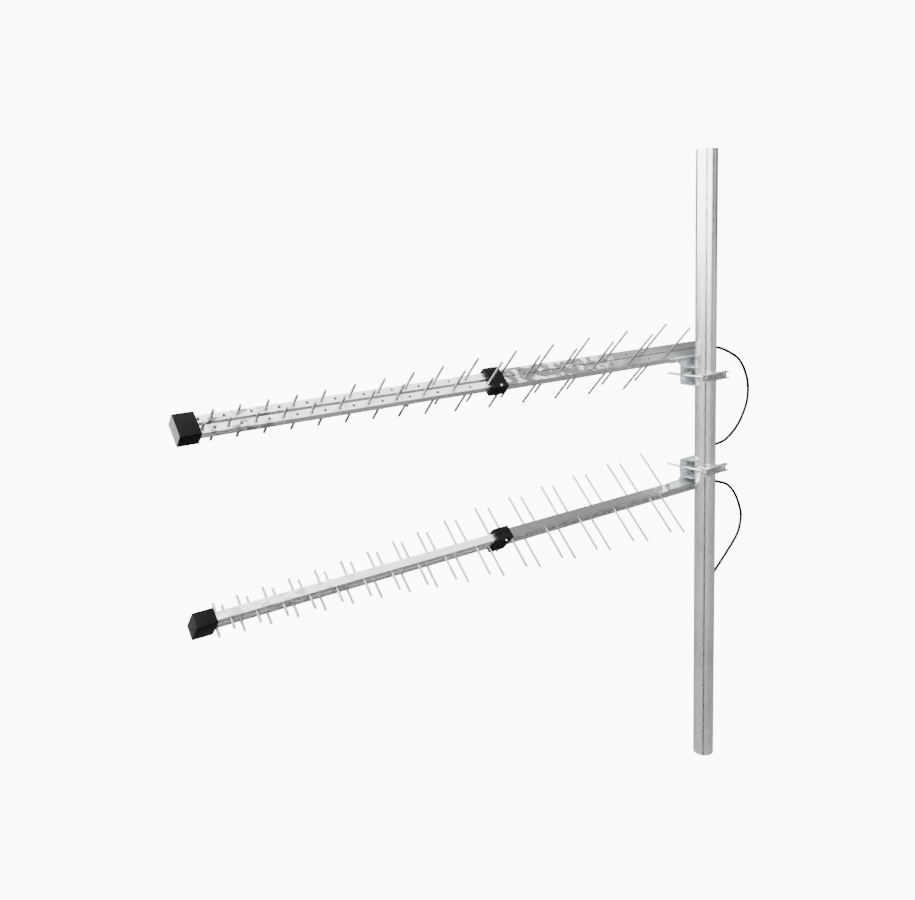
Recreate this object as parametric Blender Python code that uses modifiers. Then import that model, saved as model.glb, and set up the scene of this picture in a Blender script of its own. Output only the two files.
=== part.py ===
"""Two crossed log-periodic antenna arrays on one section of round mast, as separate pieces.

Units are metres and +Z is up. The mast stands on the origin. Both arrays point
along -X and pass behind the mast, on its +Y side. In an array's own frame, X runs
along the boom, Z is the direction of the rods and -Y is the channel nearer the mast.
"""

import math

import bmesh
import bpy
from mathutils import Matrix, Vector

MM = 0.001

# Fit and finish
TOUCH = 0.3 * MM          # gap left between two pieces that touch
CORNER = 0.5 * MM         # small edge rounding

# Mast
MAST_RADIUS = 25 * MM
MAST_WALL = 2 * MM
MAST_LENGTH = 1500 * MM
MAST_SIDES = 80

# Where the arrays stand
UPPER_Z = 1030 * MM
ARRAY_SPACING = 334 * MM
TILT = math.radians(45)
MAST_CLEARANCE = 2.14 * MM    # from the mast to the nearest corner of a boom

# Dipoles, counted from the nose: a few design values, with straight runs between
DIPOLES = 31
FRONT_DIPOLES = 21
LAST_DIPOLE_X = -100.6 * MM
GAP_STEPS = (
    (1, 21.4), (4, 24.6), (9, 27.2), (12, 30), (16, 30),
    (20, 44), (21, 47), (25, 49), (28, 59.5), (30, 60),
)
HALF_LENGTH_STEPS = ((1, 26.6), (10, 37.4), (14, 47), (18, 60.8), (21, 76), (25, 86.6), (31, 108.7))
ROD_RADIUS = 2.4 * MM
ROD_SIDES = 8
SWAGE_HOLE_RADIUS = 2.4 * MM

# Channels of the boom
REAR_CHANNEL = 19 * MM
CHANNEL_GAP = 2 * MM      # between the two rear channels
CHANNEL_PITCH = REAR_CHANNEL + CHANNEL_GAP
REAR_WALL = 1.6 * MM
SLIDE_FIT = 0.4 * MM      # gap round the front channel inside the rear one
FRONT_CHANNEL = REAR_CHANNEL - 2 * (REAR_WALL + SLIDE_FIT)
FRONT_WALL = 1.5 * MM
REAR_END_X = 55 * MM
TELESCOPE = 52 * MM       # how far the front channel runs inside the rear one
NOSE_LEAD = 12 * MM       # from the first dipole to the front end of the channel
BOOM_HALF_N = CHANNEL_PITCH / 2 + REAR_CHANNEL / 2
BOOM_Y = MAST_RADIUS + MAST_CLEARANCE + BOOM_HALF_N * math.cos(TILT) + REAR_CHANNEL / 2 * math.sin(TILT)

# Nose cap
CAP_FRONT_LEAD = 42 * MM
CAP_BACK_LEAD = 4.5 * MM
CAP_HALF_N = CHANNEL_PITCH / 2 + FRONT_CHANNEL / 2 + 5.5 * MM
CAP_HALF_E = FRONT_CHANNEL / 2 + 7 * MM

# Splice clamp between the two sections
CLAMP_HALF_X = 20 * MM
CLAMP_HALF_N = BOOM_HALF_N + 5.5 * MM
CLAMP_HALF_E = REAR_CHANNEL / 2 + 4.5 * MM
CLAMP_RIBS = 5
CLAMP_RIB_DEPTH = 2 * MM
CLAMP_SCREW_RADIUS = 1.5 * MM
CLAMP_SCREW_N = BOOM_HALF_N + 2.9 * MM

# Rear spacer and gland
SPACER_START_X = 46 * MM
SPACER_END_X = 61 * MM
SPACER_HALF_N = BOOM_HALF_N + 3 * MM
SPACER_HALF_E = REAR_CHANNEL / 2 + 2.5 * MM
GLAND_LENGTH = 16 * MM
GLAND_RADIUS = 6.5 * MM
GLAND_PLAY = 0.4 * MM
CABLE_RADIUS = 3.5 * MM

# Mount plate
PLATE = 2 * MM
TAB_END_X = -82 * MM
TAB_FAR_END_X = -96 * MM
TAB_REAR_X = 43 * MM
TAB_FAR_E = REAR_CHANNEL / 2 - MM
LEG_HALF_X = 44 * MM
GUSSET = 9 * MM

# Mast clamp, its heights counted from the bolt axis
UPPER_BOLT_OFFSET = 55 * MM   # from the boom centre to the bolts
LOWER_BOLT_OFFSET = 52 * MM
BOLT_X = 33 * MM
BOLT_RADIUS = 3 * MM
BOLT_HOLE_RADIUS = 3.4 * MM
BOLT_FREE_END_Y = 88 * MM
HEAD_HEIGHT = 4 * MM
HEAD_RADIUS = 5.6 * MM
BRACKET_HALF_Z = 22.5 * MM
BRACKET_HALF_X = 40 * MM
BRACKET_FRONT_Y = 4 * MM
RIVET_X = -35.5 * MM
RIVET_HALF_PITCH = 16 * MM
BAR_HALF_X = 43.5 * MM
BAR_HALF_Z = 8.5 * MM
BAR_DEPTH = 12.2 * MM
NUT_RADIUS = 6.5 * MM
NUT_HEIGHT = 8 * MM
WING_REACH = 16.5 * MM
WING_HEIGHT = 17 * MM
WING = 2 * MM

# Coax routes: (X, height from the boom centre) of the loop, then back to the mast
UPPER_LOOP = (
    (101, -2), (137, -13), (190, -41), (220, -82), (230, -122),
    (222, -165), (190, -211), (143, -242), (104, -249),
)
LOWER_LOOP = (
    (103, -12), (149, -30), (183, -64), (205, -111), (206, -139),
    (192, -174), (148, -214), (103, -250),
)
UPPER_GROMMET = -247 * MM     # height of the grommet from the boom centre
LOWER_GROMMET = -257 * MM
CABLE_POINTS = 74
GROMMET_FLANGE = 7 * MM
GROMMET_LIP = 1.8 * MM    # thickness of the flange outside the mast

for old in list(bpy.data.objects):
    bpy.data.objects.remove(old)

scene = bpy.context.scene
antenna = bpy.data.collections.new("crossed_log_periodic_antenna")
helpers = bpy.data.collections.new("cutters")
scene.collection.children.link(antenna)
scene.collection.children.link(helpers)

FINISHES = {
    "galvanised": ((0.62, 0.64, 0.65, 1), 1.0, 0.38),
    "aluminium": ((0.78, 0.79, 0.80, 1), 1.0, 0.32),
    "zinc": ((0.42, 0.45, 0.46, 1), 1.0, 0.42),
    "steel": ((0.60, 0.60, 0.59, 1), 1.0, 0.30),
    "brass": ((0.75, 0.58, 0.28, 1), 1.0, 0.35),
    "plastic": ((0.02, 0.02, 0.022, 1), 0.0, 0.5),
    "rubber": ((0.015, 0.015, 0.015, 1), 0.0, 0.8),
    "jacket": ((0.012, 0.012, 0.014, 1), 0.0, 0.35),
}


def stepped(steps, k):
    """The value at dipole k, with straight runs between the design values."""
    for (start, low), (end, high) in zip(steps, steps[1:]):
        if k <= end:
            return (low + (high - low) * (k - start) / (end - start)) * MM
    return steps[-1][1] * MM


def dipole_positions():
    """X of each dipole, nose first."""
    places = [LAST_DIPOLE_X]
    for k in range(DIPOLES - 1, 0, -1):
        places.insert(0, places[0] - stepped(GAP_STEPS, k))
    return places


DIPOLE_X = dipole_positions()
HALF_LENGTH = [stepped(HALF_LENGTH_STEPS, k) for k in range(1, DIPOLES + 1)]
NOSE_X = DIPOLE_X[0] - NOSE_LEAD
SPLICE_X = (DIPOLE_X[FRONT_DIPOLES - 1] + DIPOLE_X[FRONT_DIPOLES]) / 2
LEG_PLANE = REAR_CHANNEL / 2 + CHANNEL_PITCH / 2 + TOUCH + PLATE / 2
LEG_Y = BOOM_Y - LEG_PLANE * math.cos(TILT) + REAR_CHANNEL / 2 * math.sin(TILT)
BRACKET_BACK_Y = LEG_Y - PLATE / 2 - TOUCH
GROMMET_ANGLE = math.atan2(BOOM_Y, UPPER_LOOP[-1][0] * MM)


def finish(name, kind):
    """A material of its own for one piece."""
    colour, metallic, roughness = FINISHES[kind]
    made = bpy.data.materials.new(name)
    made.use_nodes = True
    shader = made.node_tree.nodes["Principled BSDF"]
    shader.inputs["Base Color"].default_value = colour
    shader.inputs["Metallic"].default_value = metallic
    shader.inputs["Roughness"].default_value = roughness
    made.diffuse_color = colour
    return made


def place(name, shape, kind, parent=None, at=(0, 0, 0), turn=(0, 0, 0)):
    """A visible piece from a bmesh."""
    mesh = bpy.data.meshes.new(name)
    bmesh.ops.recalc_face_normals(shape, faces=shape.faces)
    shape.to_mesh(mesh)
    shape.free()
    piece = bpy.data.objects.new(name, mesh)
    piece.location = at
    piece.rotation_euler = turn
    piece.parent = parent
    piece.data.materials.append(finish(name, kind))
    antenna.objects.link(piece)
    return piece


def helper(name, shape, parent=None, at=(0, 0, 0), turn=(0, 0, 0)):
    """A hidden shape for a Boolean."""
    mesh = bpy.data.meshes.new(name)
    bmesh.ops.recalc_face_normals(shape, faces=shape.faces)
    shape.to_mesh(mesh)
    shape.free()
    made = bpy.data.objects.new(name, mesh)
    made.location = at
    made.rotation_euler = turn
    made.parent = parent
    made.hide_render = True
    made.display_type = "WIRE"
    helpers.objects.link(made)
    return made


def frame(name, at, turn=(0, 0, 0), parent=None):
    """An empty that carries pieces."""
    made = bpy.data.objects.new(name, None)
    made.location = at
    made.rotation_euler = turn
    made.parent = parent
    made.empty_display_size = 0.02
    antenna.objects.link(made)
    return made


def boolean(piece, other, operation="DIFFERENCE"):
    """An exact Boolean of piece with a helper."""
    step = piece.modifiers.new(operation.lower(), "BOOLEAN")
    step.operation = operation
    step.solver = "EXACT"
    step.object = other
    return piece


def rounded(piece, width=CORNER, segments=1):
    """A small bevel on every sharp edge."""
    step = piece.modifiers.new("edges", "BEVEL")
    step.width = width
    step.segments = segments
    step.limit_method = "ANGLE"
    step.angle_limit = math.radians(40)
    return piece


def smooth(piece, angle=35):
    """Smooth shading with sharp corners kept."""
    piece.data.shade_smooth()
    piece.data.set_sharp_from_angle(angle=math.radians(angle))
    return piece


def box(*spans, into=None):
    """A box from three (low, high) spans, added to a bmesh."""
    shape = into or bmesh.new()
    sizes = [high - low for low, high in spans]
    middle = Vector([(high + low) / 2 for low, high in spans])
    matrix = Matrix.Translation(middle) @ Matrix.Diagonal((*sizes, 1))
    bmesh.ops.create_cube(shape, size=1, matrix=matrix)
    return shape


def rod(start, end, radius, sides=24, into=None):
    """A cylinder between two points, added to a bmesh."""
    shape = into or bmesh.new()
    start, end = Vector(start), Vector(end)
    turn = (end - start).to_track_quat("Z", "Y").to_matrix().to_4x4()
    bmesh.ops.create_cone(
        shape,
        cap_ends=True,
        segments=sides,
        radius1=radius,
        radius2=radius,
        depth=(end - start).length,
        matrix=Matrix.Translation((start + end) / 2) @ turn,
    )
    return shape


def slab(outline, low, high, axis):
    """A flat plate from an outline, thick along one axis (0, 1 or 2)."""
    shape = bmesh.new()
    corners = [shape.verts.new((*point[:axis], low, *point[axis:])) for point in outline]
    face = shape.faces.new(corners)
    across = Vector((0, 0, 0))
    across[axis] = high - low
    grown = bmesh.ops.extrude_face_region(shape, geom=[face])
    moved = [item for item in grown["geom"] if isinstance(item, bmesh.types.BMVert)]
    bmesh.ops.translate(shape, verts=moved, vec=across)
    return shape


def lathe(profile, sides=32):
    """A ring from (radius, height) points, turned about Z."""
    shape = bmesh.new()
    corners = [shape.verts.new((radius, 0, height)) for radius, height in profile]
    edges = [shape.edges.new(pair) for pair in zip(corners, corners[1:] + corners[:1])]
    bmesh.ops.spin(
        shape,
        geom=corners + edges,
        cent=(0, 0, 0),
        axis=(0, 0, 1),
        angle=2 * math.pi,
        steps=sides,
        use_merge=True,
    )
    bmesh.ops.remove_doubles(shape, verts=shape.verts, dist=1e-6)
    return shape


def channel(name, parent, side, size, wall, ends, dipoles):
    """One square channel of the boom with its rods, swaged through its walls."""
    start, end = ends
    middle = side * CHANNEL_PITCH / 2
    half = size / 2
    shape = box((start, end), (middle - half, middle + half), (-half, half))
    piece = place(name, shape, "aluminium", parent)
    inner = half - wall
    bore = box((start - MM, end + MM), (middle - inner, middle + inner), (-inner, inner))
    boolean(piece, helper(name + "_bore", bore, parent))
    rods, holes = bmesh.new(), bmesh.new()
    for k in dipoles:
        way = -side if k % 2 else side
        x, reach = DIPOLE_X[k - 1], HALF_LENGTH[k - 1]
        root = half - wall + 0.4 * MM
        rod((x, middle, way * root), (x, middle, way * reach), ROD_RADIUS, ROD_SIDES, rods)
        far = -way * (half + MM)
        rod((x, middle, -way * (inner - MM)), (x, middle, far), SWAGE_HOLE_RADIUS, 6, holes)
    boolean(piece, helper(name + "_rods", rods, parent), "UNION")
    boolean(piece, helper(name + "_holes", holes, parent))
    return smooth(piece, 30)


def nose(name, parent):
    """The front cap with the feed link inside it."""
    back = DIPOLE_X[0] - CAP_BACK_LEAD
    front = DIPOLE_X[0] - CAP_FRONT_LEAD
    shape = box((front, back), (-CAP_HALF_N, CAP_HALF_N), (-CAP_HALF_E, CAP_HALF_E))
    cap = rounded(place(name + "_nose_cap", shape, "plastic", parent), 1.2 * MM, 2)
    half = FRONT_CHANNEL / 2 + TOUCH
    for side in (-1, 1):
        middle = side * CHANNEL_PITCH / 2
        pocket = box((NOSE_X - TOUCH, back + MM), (middle - half, middle + half), (-half, half))
        boolean(cap, helper(f"{name}_cap_pocket_{side}", pocket, parent))
    link_x = NOSE_X - TOUCH
    link_n = CHANNEL_PITCH / 2 + 5 * MM
    link = box((link_x - 4 * MM, link_x), (-link_n, link_n), (-5 * MM, 5 * MM))
    place(name + "_feed_link", link, "brass", parent)
    room = box(
        (link_x - 4 * MM - TOUCH, link_x + MM),
        (-link_n - TOUCH, link_n + TOUCH),
        (-5 * MM - TOUCH, 5 * MM + TOUCH),
    )
    boolean(cap, helper(name + "_link_room", room, parent))


def splice(name, parent):
    """Two ribbed shells and two screws that hold the front and rear sections."""
    front, back = SPLICE_X - CLAMP_HALF_X, SPLICE_X + CLAMP_HALF_X
    rear_half = REAR_CHANNEL / 2 + TOUCH
    front_half = FRONT_CHANNEL / 2 + TOUCH
    for label, way in (("top", 1), ("bottom", -1)):
        spans = sorted((way * TOUCH / 2, way * CLAMP_HALF_E))
        shape = box((front, back), (-CLAMP_HALF_N, CLAMP_HALF_N), spans)
        shell = rounded(place(f"{name}_splice_shell_{label}", shape, "plastic", parent), 0.8 * MM)
        outer = CHANNEL_PITCH / 2 + rear_half
        rear = box((SPLICE_X - TOUCH, back + MM), (-outer, outer), (-rear_half, rear_half))
        boolean(shell, helper(f"{name}_{label}_rear_seat", rear, parent))
        for side in (-1, 1):
            middle = side * CHANNEL_PITCH / 2
            across = (middle - front_half, middle + front_half)
            seat = box((front - MM, SPLICE_X), across, (-front_half, front_half))
            boolean(shell, helper(f"{name}_{label}_seat_{side}", seat, parent))
        grooves = bmesh.new()
        pitch = 2 * CLAMP_HALF_X / CLAMP_RIBS
        groove_n = CLAMP_SCREW_N - 4.9 * MM
        for groove in range(CLAMP_RIBS - 1):
            middle = front + pitch * (groove + 1)
            depth = sorted((way * (CLAMP_HALF_E - CLAMP_RIB_DEPTH), way * (CLAMP_HALF_E + MM)))
            box((middle - 1.6 * MM, middle + 1.6 * MM), (-groove_n, groove_n), depth, into=grooves)
        boolean(shell, helper(f"{name}_{label}_grooves", grooves, parent))
        for side in (-1, 1):
            hole = rod(
                (SPLICE_X, side * CLAMP_SCREW_N, -20 * MM),
                (SPLICE_X, side * CLAMP_SCREW_N, 20 * MM),
                CLAMP_SCREW_RADIUS + 0.15 * MM,
            )
            boolean(shell, helper(f"{name}_{label}_screw_hole_{side}", hole, parent))
    for label, side in (("near", -1), ("far", 1)):
        top = -side * (CLAMP_HALF_E + TOUCH)
        where = (SPLICE_X, side * CLAMP_SCREW_N, 0)
        head = rod((0, 0, top), (0, 0, top - side * 2.4 * MM), 2.7 * MM)
        piece = place(f"{name}_splice_screw_{label}", head, "steel", parent, where)
        shank = rod((0, 0, top - side * MM), (0, 0, side * (CLAMP_HALF_E + 4 * MM)), CLAMP_SCREW_RADIUS)
        boolean(piece, helper(f"{name}_screw_shank_{label}", shank, parent, where), "UNION")
        smooth(piece)


def tail(name, parent):
    """The spacer on the rear ends, the gland in it and the coax inside the near channel."""
    shape = box(
        (SPACER_START_X, SPACER_END_X),
        (-SPACER_HALF_N, SPACER_HALF_N),
        (-SPACER_HALF_E, SPACER_HALF_E),
    )
    spacer = rounded(place(name + "_rear_spacer", shape, "plastic", parent), 1 * MM)
    half = REAR_CHANNEL / 2 + TOUCH
    outer = CHANNEL_PITCH / 2 + half
    pocket = box((SPACER_START_X - MM, REAR_END_X + TOUCH), (-outer, outer), (-half, half))
    boolean(spacer, helper(name + "_spacer_pocket", pocket, parent))
    start = SPACER_END_X + TOUCH
    profile = (
        (CABLE_RADIUS + GLAND_PLAY, 0),
        (GLAND_RADIUS, 0),
        (GLAND_RADIUS, GLAND_LENGTH - 5 * MM),
        (CABLE_RADIUS + 2 * MM, GLAND_LENGTH),
        (CABLE_RADIUS + GLAND_PLAY, GLAND_LENGTH),
    )
    turn = (0, math.pi / 2, 0)
    smooth(place(name + "_cable_gland", lathe(profile), "plastic", parent, (start, 0, 0), turn))
    middle = -CHANNEL_PITCH / 2
    coax = rod((NOSE_X, middle, 0), (REAR_END_X, middle, 0), CABLE_RADIUS, 16)
    smooth(place(name + "_feed_coax", coax, "jacket", parent))


def mount(name, parent, boom, side, heights):
    """The bent mount plate: a tab on the near channel and a leg behind the bracket."""
    bolt_z, leg_end = heights
    edge = REAR_CHANNEL / 2
    outline = (
        (TAB_END_X, -side * edge),
        (TAB_REAR_X, -side * edge),
        (TAB_REAR_X, side * TAB_FAR_E),
        (TAB_FAR_END_X, side * TAB_FAR_E),
    )
    low = -LEG_PLANE - PLATE / 2
    plate = place(name + "_mount_plate", slab(outline, low, low + PLATE, 1), "zinc", boom)
    bend_z = side * -(LEG_PLANE * math.sin(TILT) + edge * math.cos(TILT))
    outline = (
        (-LEG_HALF_X - GUSSET, bend_z),
        (TAB_REAR_X, bend_z),
        (TAB_REAR_X, leg_end),
        (-LEG_HALF_X, leg_end),
        (-LEG_HALF_X, bend_z - side * GUSSET),
    )
    leg = slab(outline, LEG_Y - PLATE / 2, LEG_Y + PLATE / 2, 1)
    boolean(plate, helper(name + "_leg", leg, parent), "UNION")
    bend = rod((TAB_END_X, LEG_Y, bend_z), (TAB_REAR_X, LEG_Y, bend_z), PLATE / 2, 16)
    boolean(plate, helper(name + "_bend", bend, parent), "UNION")
    for way in (-1, 1):
        x = way * BOLT_X
        hole = rod((x, LEG_Y - 9 * MM, bolt_z), (x, LEG_Y + 9 * MM, bolt_z), BOLT_HOLE_RADIUS)
        boolean(plate, helper(f"{name}_leg_hole_{way}", hole, parent), "DIFFERENCE")
    for label, x in (("front", -68 * MM), ("rear", 36 * MM)):
        hole = rod((x, low - 3 * MM, 0), (x, low + 5 * MM, 0), 2 * MM, 16)
        cutter = helper(f"{name}_plate_screw_hole_{label}", hole, boom)
        boolean(plate, cutter)
        boolean(bpy.data.objects[name + "_rear_channel_near"], cutter)
        top = low - TOUCH
        screw = rod((0, top - 1.8 * MM, 0), (0, top, 0), 3.6 * MM, 20)
        piece = place(f"{name}_plate_screw_{label}", screw, "steel", boom, (x, 0, 0))
        shank = rod((0, top - MM, 0), (0, low + PLATE + 4 * MM, 0), 1.7 * MM, 16)
        boolean(piece, helper(f"{name}_plate_screw_shank_{label}", shank, boom, (x, 0, 0)), "UNION")
        smooth(piece)
    return plate


def mast_clamp(name, parent, plate, bolt_z):
    """The saddle bracket, its rivets, the clamp bar, the bolts and the wing nuts."""
    web_front = BRACKET_BACK_Y - PLATE
    low, high = bolt_z - BRACKET_HALF_Z, bolt_z + BRACKET_HALF_Z
    shape = box((-BRACKET_HALF_X, BRACKET_HALF_X), (BRACKET_FRONT_Y, BRACKET_BACK_Y), (low, high))
    bracket = place(name + "_saddle_bracket", shape, "zinc", parent)
    hollow = box(
        (-BRACKET_HALF_X - MM, BRACKET_HALF_X + MM),
        (BRACKET_FRONT_Y - MM, web_front),
        (low + PLATE, high - PLATE),
    )
    boolean(bracket, helper(name + "_bracket_hollow", hollow, parent))
    notch = rod((0, 0, low - MM), (0, 0, high + MM), MAST_RADIUS + TOUCH, MAST_SIDES)
    boolean(bracket, helper(name + "_bracket_notch", notch, parent))
    for way in (-1, 1):
        x = way * BOLT_X
        hole = rod(
            (x, web_front - 5 * MM, bolt_z),
            (x, BRACKET_BACK_Y + 5 * MM, bolt_z),
            BOLT_HOLE_RADIUS,
        )
        boolean(bracket, helper(f"{name}_bracket_hole_{way}", hole, parent))
    for label, way in (("top", 1), ("bottom", -1)):
        z = bolt_z + way * RIVET_HALF_PITCH
        hole = rod((RIVET_X, web_front - 5 * MM, z), (RIVET_X, LEG_Y + 5 * MM, z), 1.9 * MM, 16)
        cutter = helper(f"{name}_rivet_hole_{label}", hole, parent)
        boolean(bracket, cutter)
        boolean(plate, cutter)
        front = web_front - TOUCH
        head = rod((0, front - 1.5 * MM, 0), (0, front, 0), 3.2 * MM, 20)
        rivet = place(f"{name}_bracket_rivet_{label}", head, "steel", parent, (RIVET_X, 0, z))
        back = LEG_Y + PLATE / 2 + TOUCH
        shank = rod((0, front - 0.8 * MM, 0), (0, back + 0.6 * MM, 0), 1.6 * MM, 16)
        tail_head = rod((0, back, 0), (0, back + 1.3 * MM, 0), 2.8 * MM, 20)
        where = (RIVET_X, 0, z)
        boolean(rivet, helper(f"{name}_rivet_shank_{label}", shank, parent, where), "UNION")
        boolean(rivet, helper(f"{name}_rivet_tail_{label}", tail_head, parent, where), "UNION")
        smooth(rivet)

    jaw = frame(name + "_jaw_axis", (0, 0, bolt_z), parent=parent)
    web_back = -MAST_RADIUS - TOUCH
    shape = box((-BAR_HALF_X, BAR_HALF_X), (web_back - BAR_DEPTH, web_back), (-BAR_HALF_Z, BAR_HALF_Z))
    bar = place(name + "_clamp_bar", shape, "zinc", jaw)
    hollow = box(
        (-BAR_HALF_X - MM, BAR_HALF_X + MM),
        (web_back - BAR_DEPTH - MM, web_back - PLATE),
        (-BAR_HALF_Z + PLATE, BAR_HALF_Z - PLATE),
    )
    boolean(bar, helper(name + "_bar_hollow", hollow, jaw))
    head_back = web_back - PLATE - TOUCH
    nut_front = LEG_Y + PLATE / 2 + TOUCH
    for label, way in (("left", -1), ("right", 1)):
        x = way * BOLT_X
        hole = rod((x, web_back - 5 * MM, 0), (x, web_back + MM, 0), BOLT_HOLE_RADIUS)
        boolean(bar, helper(f"{name}_bar_hole_{label}", hole, jaw))
        head = rod((0, head_back - HEAD_HEIGHT, 0), (0, head_back, 0), HEAD_RADIUS, 6)
        bolt = place(f"{name}_clamp_bolt_{label}", head, "steel", jaw, (x, 0, 0))
        shank = rod((0, head_back - MM, 0), (0, BOLT_FREE_END_Y, 0), BOLT_RADIUS)
        boolean(bolt, helper(f"{name}_bolt_shank_{label}", shank, jaw, (x, 0, 0)), "UNION")
        smooth(bolt)
        wing_nut(f"{name}_wing_nut_{label}", parent, (x, nut_front, bolt_z), NUT_TURN[name, label])


NUT_TURN = {
    ("upper", "left"): math.radians(-30),
    ("upper", "right"): math.radians(20),
    ("lower", "left"): 0,
    ("lower", "right"): math.radians(8),
}


def wing_nut(name, parent, at, turn):
    """A wing nut on a bolt along Y: a cone, two wings and a clearance bore."""
    body = bmesh.new()
    bmesh.ops.create_cone(
        body,
        cap_ends=True,
        segments=24,
        radius1=NUT_RADIUS,
        radius2=NUT_RADIUS - 1.2 * MM,
        depth=NUT_HEIGHT,
        matrix=Matrix.Translation((0, NUT_HEIGHT / 2, 0)) @ Matrix.Rotation(-math.pi / 2, 4, "X"),
    )
    nut = place(name, body, "steel", parent, at, (0, turn, 0))
    for way in (-1, 1):
        outline = (
            (way * (NUT_RADIUS - 2 * MM), 1.5 * MM),
            (way * (WING_REACH - 5 * MM), 4.0 * MM),
            (way * WING_REACH, 9.5 * MM),
            (way * WING_REACH, WING_HEIGHT - 2 * MM),
            (way * (WING_REACH - 3 * MM), WING_HEIGHT),
            (way * (WING_REACH - 6 * MM), WING_HEIGHT - 2 * MM),
            (way * (NUT_RADIUS - 1.6 * MM), NUT_HEIGHT - 0.5 * MM),
        )
        wing = slab(outline, -WING / 2, WING / 2, 2)
        boolean(nut, helper(f"{name}_wing_{way}", wing, parent, at, (0, turn, 0)), "UNION")
    bore = rod((0, -MM, 0), (0, NUT_HEIGHT + 6 * MM, 0), BOLT_RADIUS + 0.2 * MM)
    boolean(nut, helper(name + "_bore", bore, parent, at, (0, turn, 0)))
    smooth(nut)


def smooth_route(points, count):
    """Evenly spaced points on a smooth curve through the route points."""
    points = [Vector(point) for point in points]
    padded = [2 * points[0] - points[1], *points, 2 * points[-1] - points[-2]]
    fine = []
    for p0, p1, p2, p3 in zip(padded, padded[1:], padded[2:], padded[3:]):
        for step in range(24):
            t = step / 24
            bend = (2 * p0 - 5 * p1 + 4 * p2 - p3) * t * t + (3 * p1 - p0 - 3 * p2 + p3) * t ** 3
            fine.append(0.5 * (2 * p1 + (p2 - p0) * t + bend))
    fine.append(points[-1])
    reach = [0.0]
    for start, end in zip(fine, fine[1:]):
        reach.append(reach[-1] + (end - start).length)
    even, index = [], 0
    for place_on in range(count):
        want = reach[-1] * place_on / (count - 1)
        while index < len(fine) - 2 and reach[index + 1] < want:
            index += 1
        part = (want - reach[index]) / (reach[index + 1] - reach[index])
        even.append(fine[index].lerp(fine[index + 1], part))
    return even


def coax(name, boom_z, loop, end_z):
    """The coax loop from the gland to just short of the grommet, clear of it at any aim."""
    start = SPACER_END_X + TOUCH + 5 * MM
    out = SPACER_END_X + TOUCH + GLAND_LENGTH
    route = [(x, BOOM_Y, boom_z) for x in (start, (start + out) / 2, out, out + 6 * MM)]
    route += [(x * MM, BOOM_Y, boom_z + z * MM) for x, z in loop]
    face = math.hypot(MAST_RADIUS + TOUCH + GROMMET_LIP, GROMMET_FLANGE) + TOUCH
    for radius in (66 * MM, 46 * MM, 34 * MM, face):
        route.append((radius * math.cos(GROMMET_ANGLE), radius * math.sin(GROMMET_ANGLE), end_z))
    curve = bpy.data.curves.new(name + "_coax_cable", "CURVE")
    curve.dimensions = "3D"
    curve.bevel_depth = CABLE_RADIUS
    curve.bevel_resolution = 2
    curve.use_fill_caps = True
    spline = curve.splines.new("POLY")
    places = smooth_route(route, CABLE_POINTS)
    spline.points.add(len(places) - 1)
    for point, where in zip(spline.points, places):
        point.co = (*where, 1)
    cable = bpy.data.objects.new(name + "_coax_cable", curve)
    cable.data.materials.append(finish(name + "_coax_cable", "jacket"))
    antenna.objects.link(cable)


def grommet(name, mast, end_z):
    """The rubber grommet in the back of the mast, and its hole."""
    bore, neck, lip = CABLE_RADIUS + 0.2 * MM, CABLE_RADIUS + 1.8 * MM, GROMMET_FLANGE
    inside = MAST_RADIUS - MAST_WALL
    inner_lip = math.sqrt(inside ** 2 - lip ** 2) - 0.2 * MM
    profile = (
        (bore, inner_lip - 2 * MM),
        (lip - 0.5 * MM, inner_lip - 2 * MM),
        (lip - 0.5 * MM, inner_lip),
        (neck, inner_lip),
        (neck, MAST_RADIUS + TOUCH),
        (lip, MAST_RADIUS + TOUCH),
        (lip, MAST_RADIUS + TOUCH + GROMMET_LIP),
        (bore, MAST_RADIUS + TOUCH + GROMMET_LIP),
    )
    turn = (0, math.pi / 2, GROMMET_ANGLE)
    smooth(place(name + "_cable_grommet", lathe(profile), "rubber", None, (0, 0, end_z), turn))
    hole = rod((0, 0, 15 * MM), (0, 0, 30 * MM), neck + TOUCH, 32)
    boolean(mast, helper(name + "_grommet_hole", hole, None, (0, 0, end_z), turn))


def array(name, boom_z, side, bolt_offset, loop, grommet_z, mast):
    """One whole array with its mount, its mast clamp and its coax loop."""
    aim = frame(name + "_aim_axis", (0, 0, 0))
    boom = frame(name + "_boom_frame", (0, BOOM_Y, boom_z), (side * TILT, 0, 0), aim)
    carry = frame(name + "_mount_frame", (0, 0, boom_z), parent=aim)
    front_end = SPLICE_X + TELESCOPE
    for label, way in (("near", -1), ("far", 1)):
        front = range(1, FRONT_DIPOLES + 1)
        rear = range(FRONT_DIPOLES + 1, DIPOLES + 1)
        ends = (NOSE_X, front_end)
        channel(f"{name}_front_channel_{label}", boom, way, FRONT_CHANNEL, FRONT_WALL, ends, front)
        ends = (SPLICE_X, REAR_END_X)
        channel(f"{name}_rear_channel_{label}", boom, way, REAR_CHANNEL, REAR_WALL, ends, rear)
    nose(name, boom)
    splice(name, boom)
    tail(name, boom)
    bolt_z = -side * bolt_offset
    leg_end = bolt_z - side * (BRACKET_HALF_Z - MM)
    plate = mount(name, carry, boom, side, (bolt_z, leg_end))
    mast_clamp(name, carry, plate, bolt_z)
    coax(name, boom_z, loop, boom_z + grommet_z)
    grommet(name, mast, boom_z + grommet_z)


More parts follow.
